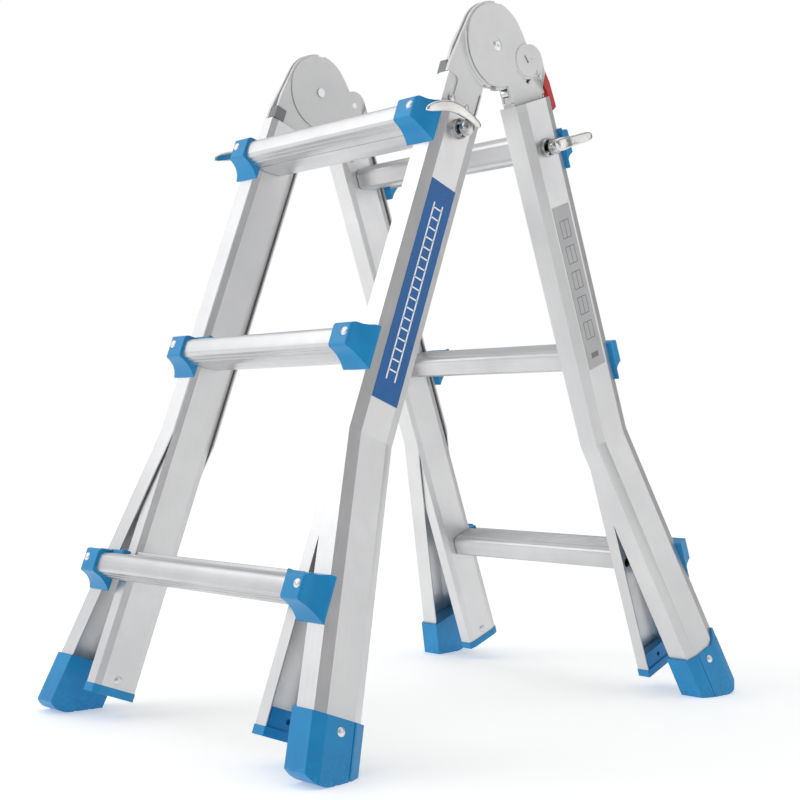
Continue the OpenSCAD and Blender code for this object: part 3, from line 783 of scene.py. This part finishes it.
for side in ("left", "right"):
    rounded_copy("front_hinge_outer_plate_" + side, 0.6 * MM, carve=press_front_plate)
    rounded_copy("front_hinge_inner_plate_" + side, 0.5 * MM)
    rounded_copy("rear_hinge_inner_plate_" + side, 0.6 * MM)
    plate = rounded_copy("rear_hinge_outer_plate_" + side, 0.9 * MM, 3, carve=press_ear)
    boss = moved(turned("boss", EAR_BOSS, 48), spot(REAR_FACE, EAR_Y, EAR_Z) @ TO_X)
    moved(at_side(boss, side), REAR)
    press_ear(boss)
    head = moved(turned("head", PIN_HEAD), spot(REAR_FACE, PIN_Y, PIN_Z) @ TO_X)
    moved(at_side(head, side), REAR)
    for piece in (boss, head):
        smooth_shading(piece, 35)
        piece.data.materials.append(plate_finish)
    joined([plate, boss, head], plate.name)

# %% [markdown]
# Below the hinge's crotch a grey block keeps the rear plates apart and closes the rail's top end. The two
# blocks are one piece, which rides with the rear plates.

# %% Rail top blocks
block = bar("rear_top_blocks", [(3.0, -63.6), (11, -63.6), (11, -75), (3.0, -75)], 159.4, 169.3)
round_edges(block, 0.8 * MM)
blocks = moved(joined([twin(block), block], "rear_top_blocks"), REAR)
smooth_shading(blocks)
finished(blocks, "rear_hinge_outer_plate_right", plate_finish)

# %% [markdown]
# ## Feet
# A foot is a deep blue moulding that cups the end of the leg. Its sole is cut level with the floor, with
# four shallow channels for grip. A thin groove runs down the outer face, and the rear feet have a
# rounded ear that climbs the edge of the leg.

# %% Feet
CHANNELS, CHANNEL_WIDTH, CHANNEL_DEPTH = 4, 2.4, 1.4
END_MARGIN = 16


def sole_channel(y, low, high):
    corners = [(y - CHANNEL_WIDTH, -2), (y + CHANNEL_WIDTH, -2),
               (y + CHANNEL_WIDTH / 2, CHANNEL_DEPTH), (y - CHANNEL_WIDTH / 2, CHANNEL_DEPTH)]
    return bar("channel", corners, low - 5, high + 5)


def shape_foot(piece):
    """Cuts the thin groove of the outer face and the channels of the sole."""
    groove = bar("groove", [(185.1, 14.6), (187, 14.3), (187, 16.1), (185.1, 15.8)], -930, -700, "z")
    combine(piece, moved(at_side(moved(groove, LEG), side), PLACES[section]), "DIFFERENCE")
    low, high = (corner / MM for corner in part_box(node))
    step = (high.y - low.y - 2 * END_MARGIN) / (CHANNELS - 1)
    for i in range(CHANNELS):
        combine(piece, sole_channel(low.y + END_MARGIN + i * step, low.x, high.x), "DIFFERENCE")


def foot_ear():
    """A thin shell over the leg's shoulder, kept where it overlaps the ear's outline."""
    skin = [(183.3, 44), (183.3, 52.6), (178.4, 66.4), (166, 66.4), (166, 69.1), (179.9, 69.1),
            (185.9, 54), (185.9, 44)]
    outline = ([(46, -840), (46, -820)] + bow((46, -820), (58, -814), (60.5, -806.5), 6)[1:]
               + bow((60.5, -806.5), (64, -800.5), (68.5, -805), 6)[1:] + [(70, -809), (70, -840)])
    shell = combine(bar("shell", skin, -900, -760, "z"), bar("ear", outline, 150, 200), "INTERSECT")
    round_edges(shell, 0.9 * MM, 2, 30)
    return moved(shell, LEG)


for section in PLACES:
    for side in ("left", "right"):
        node = section + "_foot_" + side
        foot = rounded_copy(node, 1.2 * MM, 3, 12, shape_foot)
        if section == "rear":
            ear = moved(at_side(foot_ear(), side), PLACES[section])
            smooth_shading(ear)
            ear.data.materials.append(foot_finish)
            joined([foot, ear], foot.name)

# %% [markdown]
# ## Printed labels
# The labels are thin films. Their prints are only a hair thicker than ink: on the blue one a plain
# pictogram of a straight ladder, on the grey one a row of empty frames and lines, with no lettering.

# %% Printed labels
INK_LOW, INK_HIGH = OUTER_HALF + 0.38, OUTER_HALF + 0.46


def strokes(name, lines, node, ink):
    """Ink strokes on a label. A line is its middle (y, z) and its size in those directions."""
    made = []
    for y, z, wide, long in lines:
        corners = [(y + across * wide / 2, z + up * long / 2)
                   for across, up in ((-1, -1), (1, -1), (1, 1), (-1, 1))]
        made.append(bar("stroke", corners, INK_LOW, INK_HIGH))
    print_layer = moved(joined(made, name), PLACES[node.split("_")[0]])
    print_layer.data.materials.append(ink)
    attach(print_layer, body_of[node])


PRINT_TOP = -238
STEPS, PITCH = 17, 12.4
FRAMES, FRAME_PITCH, FRAME_WIDE, FRAME_LONG = 5, 33, 17, 22
ladder_lines = [(y, -340, 2.0, 216) for y in (25.5, 39.0)]
ladder_lines += [(32.25, PRINT_TOP - i * PITCH, 13.5, 1.8) for i in range(STEPS)]
strokes("front_label_print", ladder_lines, "front_label", white_ink)
frame_lines = []
for i in range(FRAMES):
    centre = PRINT_TOP - i * FRAME_PITCH
    frame_lines += [(y, centre, 1.0, FRAME_LONG) for y in (24, 32.5, 41)]
    frame_lines += [(32.5, centre + end, FRAME_WIDE, 1.0) for end in (-FRAME_LONG / 2, FRAME_LONG / 2)]
strokes("rear_label_print", frame_lines + [(32.5, -403, 14, 7)], "rear_label", grey_ink)

# %% [markdown]
# ## The set
# A plain white floor and big soft lights, as in a small studio. The floor glows a little more with
# distance, so that it meets the white backdrop without a line. Bare metal shows mostly what it
# reflects, so the surroundings are not one even tone: they have a broad bright patch at the front
# left, a narrow one at the far right and a soft one overhead.

# %% Floor and light
bpy.ops.object.select_all(action="DESELECT")
bpy.ops.mesh.primitive_plane_add(size=60)
floor = bpy.context.active_object
floor.name = "floor"
floor_paint, floor_tree, floor_shader, floor_place = new_finish("floor_paint")
floor_tone = noise(floor_tree, floor_place, 1.5, detail=2.0)
floor_tree.links.new(blend_colours(floor_tree, floor_tone, (0.90, 0.90, 0.895), (0.88, 0.88, 0.875)),
                     floor_shader.inputs["Base Color"])
floor_shader.inputs["Roughness"].default_value = 0.6
floor_shader.inputs["Emission Color"].default_value = (1, 1, 0.99, 1)
away = add(floor_tree, "ShaderNodeVectorMath", {"Vector": floor_place}, operation="LENGTH")
glow = spread(floor_tree, away.outputs["Value"], 0.5, 3.0, 0.33, 0.50)
floor_tree.links.new(glow, floor_shader.inputs["Emission Strength"])
floor.data.materials.append(floor_paint)

world = bpy.data.worlds.new("studio")
world.use_nodes = True
bpy.context.scene.world = world
sky = world.node_tree
direction = add(sky, "ShaderNodeTexCoord").outputs["Generated"]


def lobe(towards, low, high, gain):
    """A soft patch of the surroundings around one direction."""
    dot = add(sky, "ShaderNodeVectorMath", operation="DOT_PRODUCT")
    sky.links.new(direction, dot.inputs[0])
    dot.inputs[1].default_value = Vector(towards).normalized()
    return spread(sky, dot.outputs["Value"], low, high, 0, gain)


around = maths(sky, "ADD", lobe((-0.78, -0.55, 0.30), 0.1, 0.95, 0.56), 0.29)
around = maths(sky, "ADD", around, lobe((0.73, 0.69, 0.0), 0.88, 1.0, 0.30))
around = maths(sky, "ADD", around, lobe((0, 0, 1), 0.3, 1.0, 0.30))
background = sky.nodes["Background"]
sky.links.new(around, background.inputs["Strength"])
background.inputs["Color"].default_value = (0.98, 0.985, 1.0, 1)
white = add(sky, "ShaderNodeBackground", {"Color": (1, 1, 1, 1), "Strength": 1.0})
seen = add(sky, "ShaderNodeMixShader", {"Fac": add(sky, "ShaderNodeLightPath").outputs["Is Camera Ray"]})
sky.links.new(background.outputs[0], seen.inputs[1])
sky.links.new(white.outputs[0], seen.inputs[2])
sky.links.new(seen.outputs[0], sky.nodes["World Output"].inputs["Surface"])


def soft_light(name, place, aim, size, watts):
    data = bpy.data.lights.new(name, "AREA")
    data.size = size
    data.energy = watts
    lamp = bpy.data.objects.new(name, data)
    bpy.context.scene.collection.objects.link(lamp)
    lamp.location = place
    lamp.rotation_euler = (Vector(aim) - Vector(place)).to_track_quat("-Z", "Y").to_euler()
    lamp.visible_camera = False


middle = (cad_low + cad_high) / 2
soft_light("key", (-1.6, -2.0, 2.2), middle, 2.0, 17)
soft_light("side", (2.4, 2.2, 1.5), middle, 2.0, 8)
soft_light("top", (0.3, 0.2, 3.2), middle, 3.0, 17)
bpy.context.scene.view_settings.view_transform = "Standard"
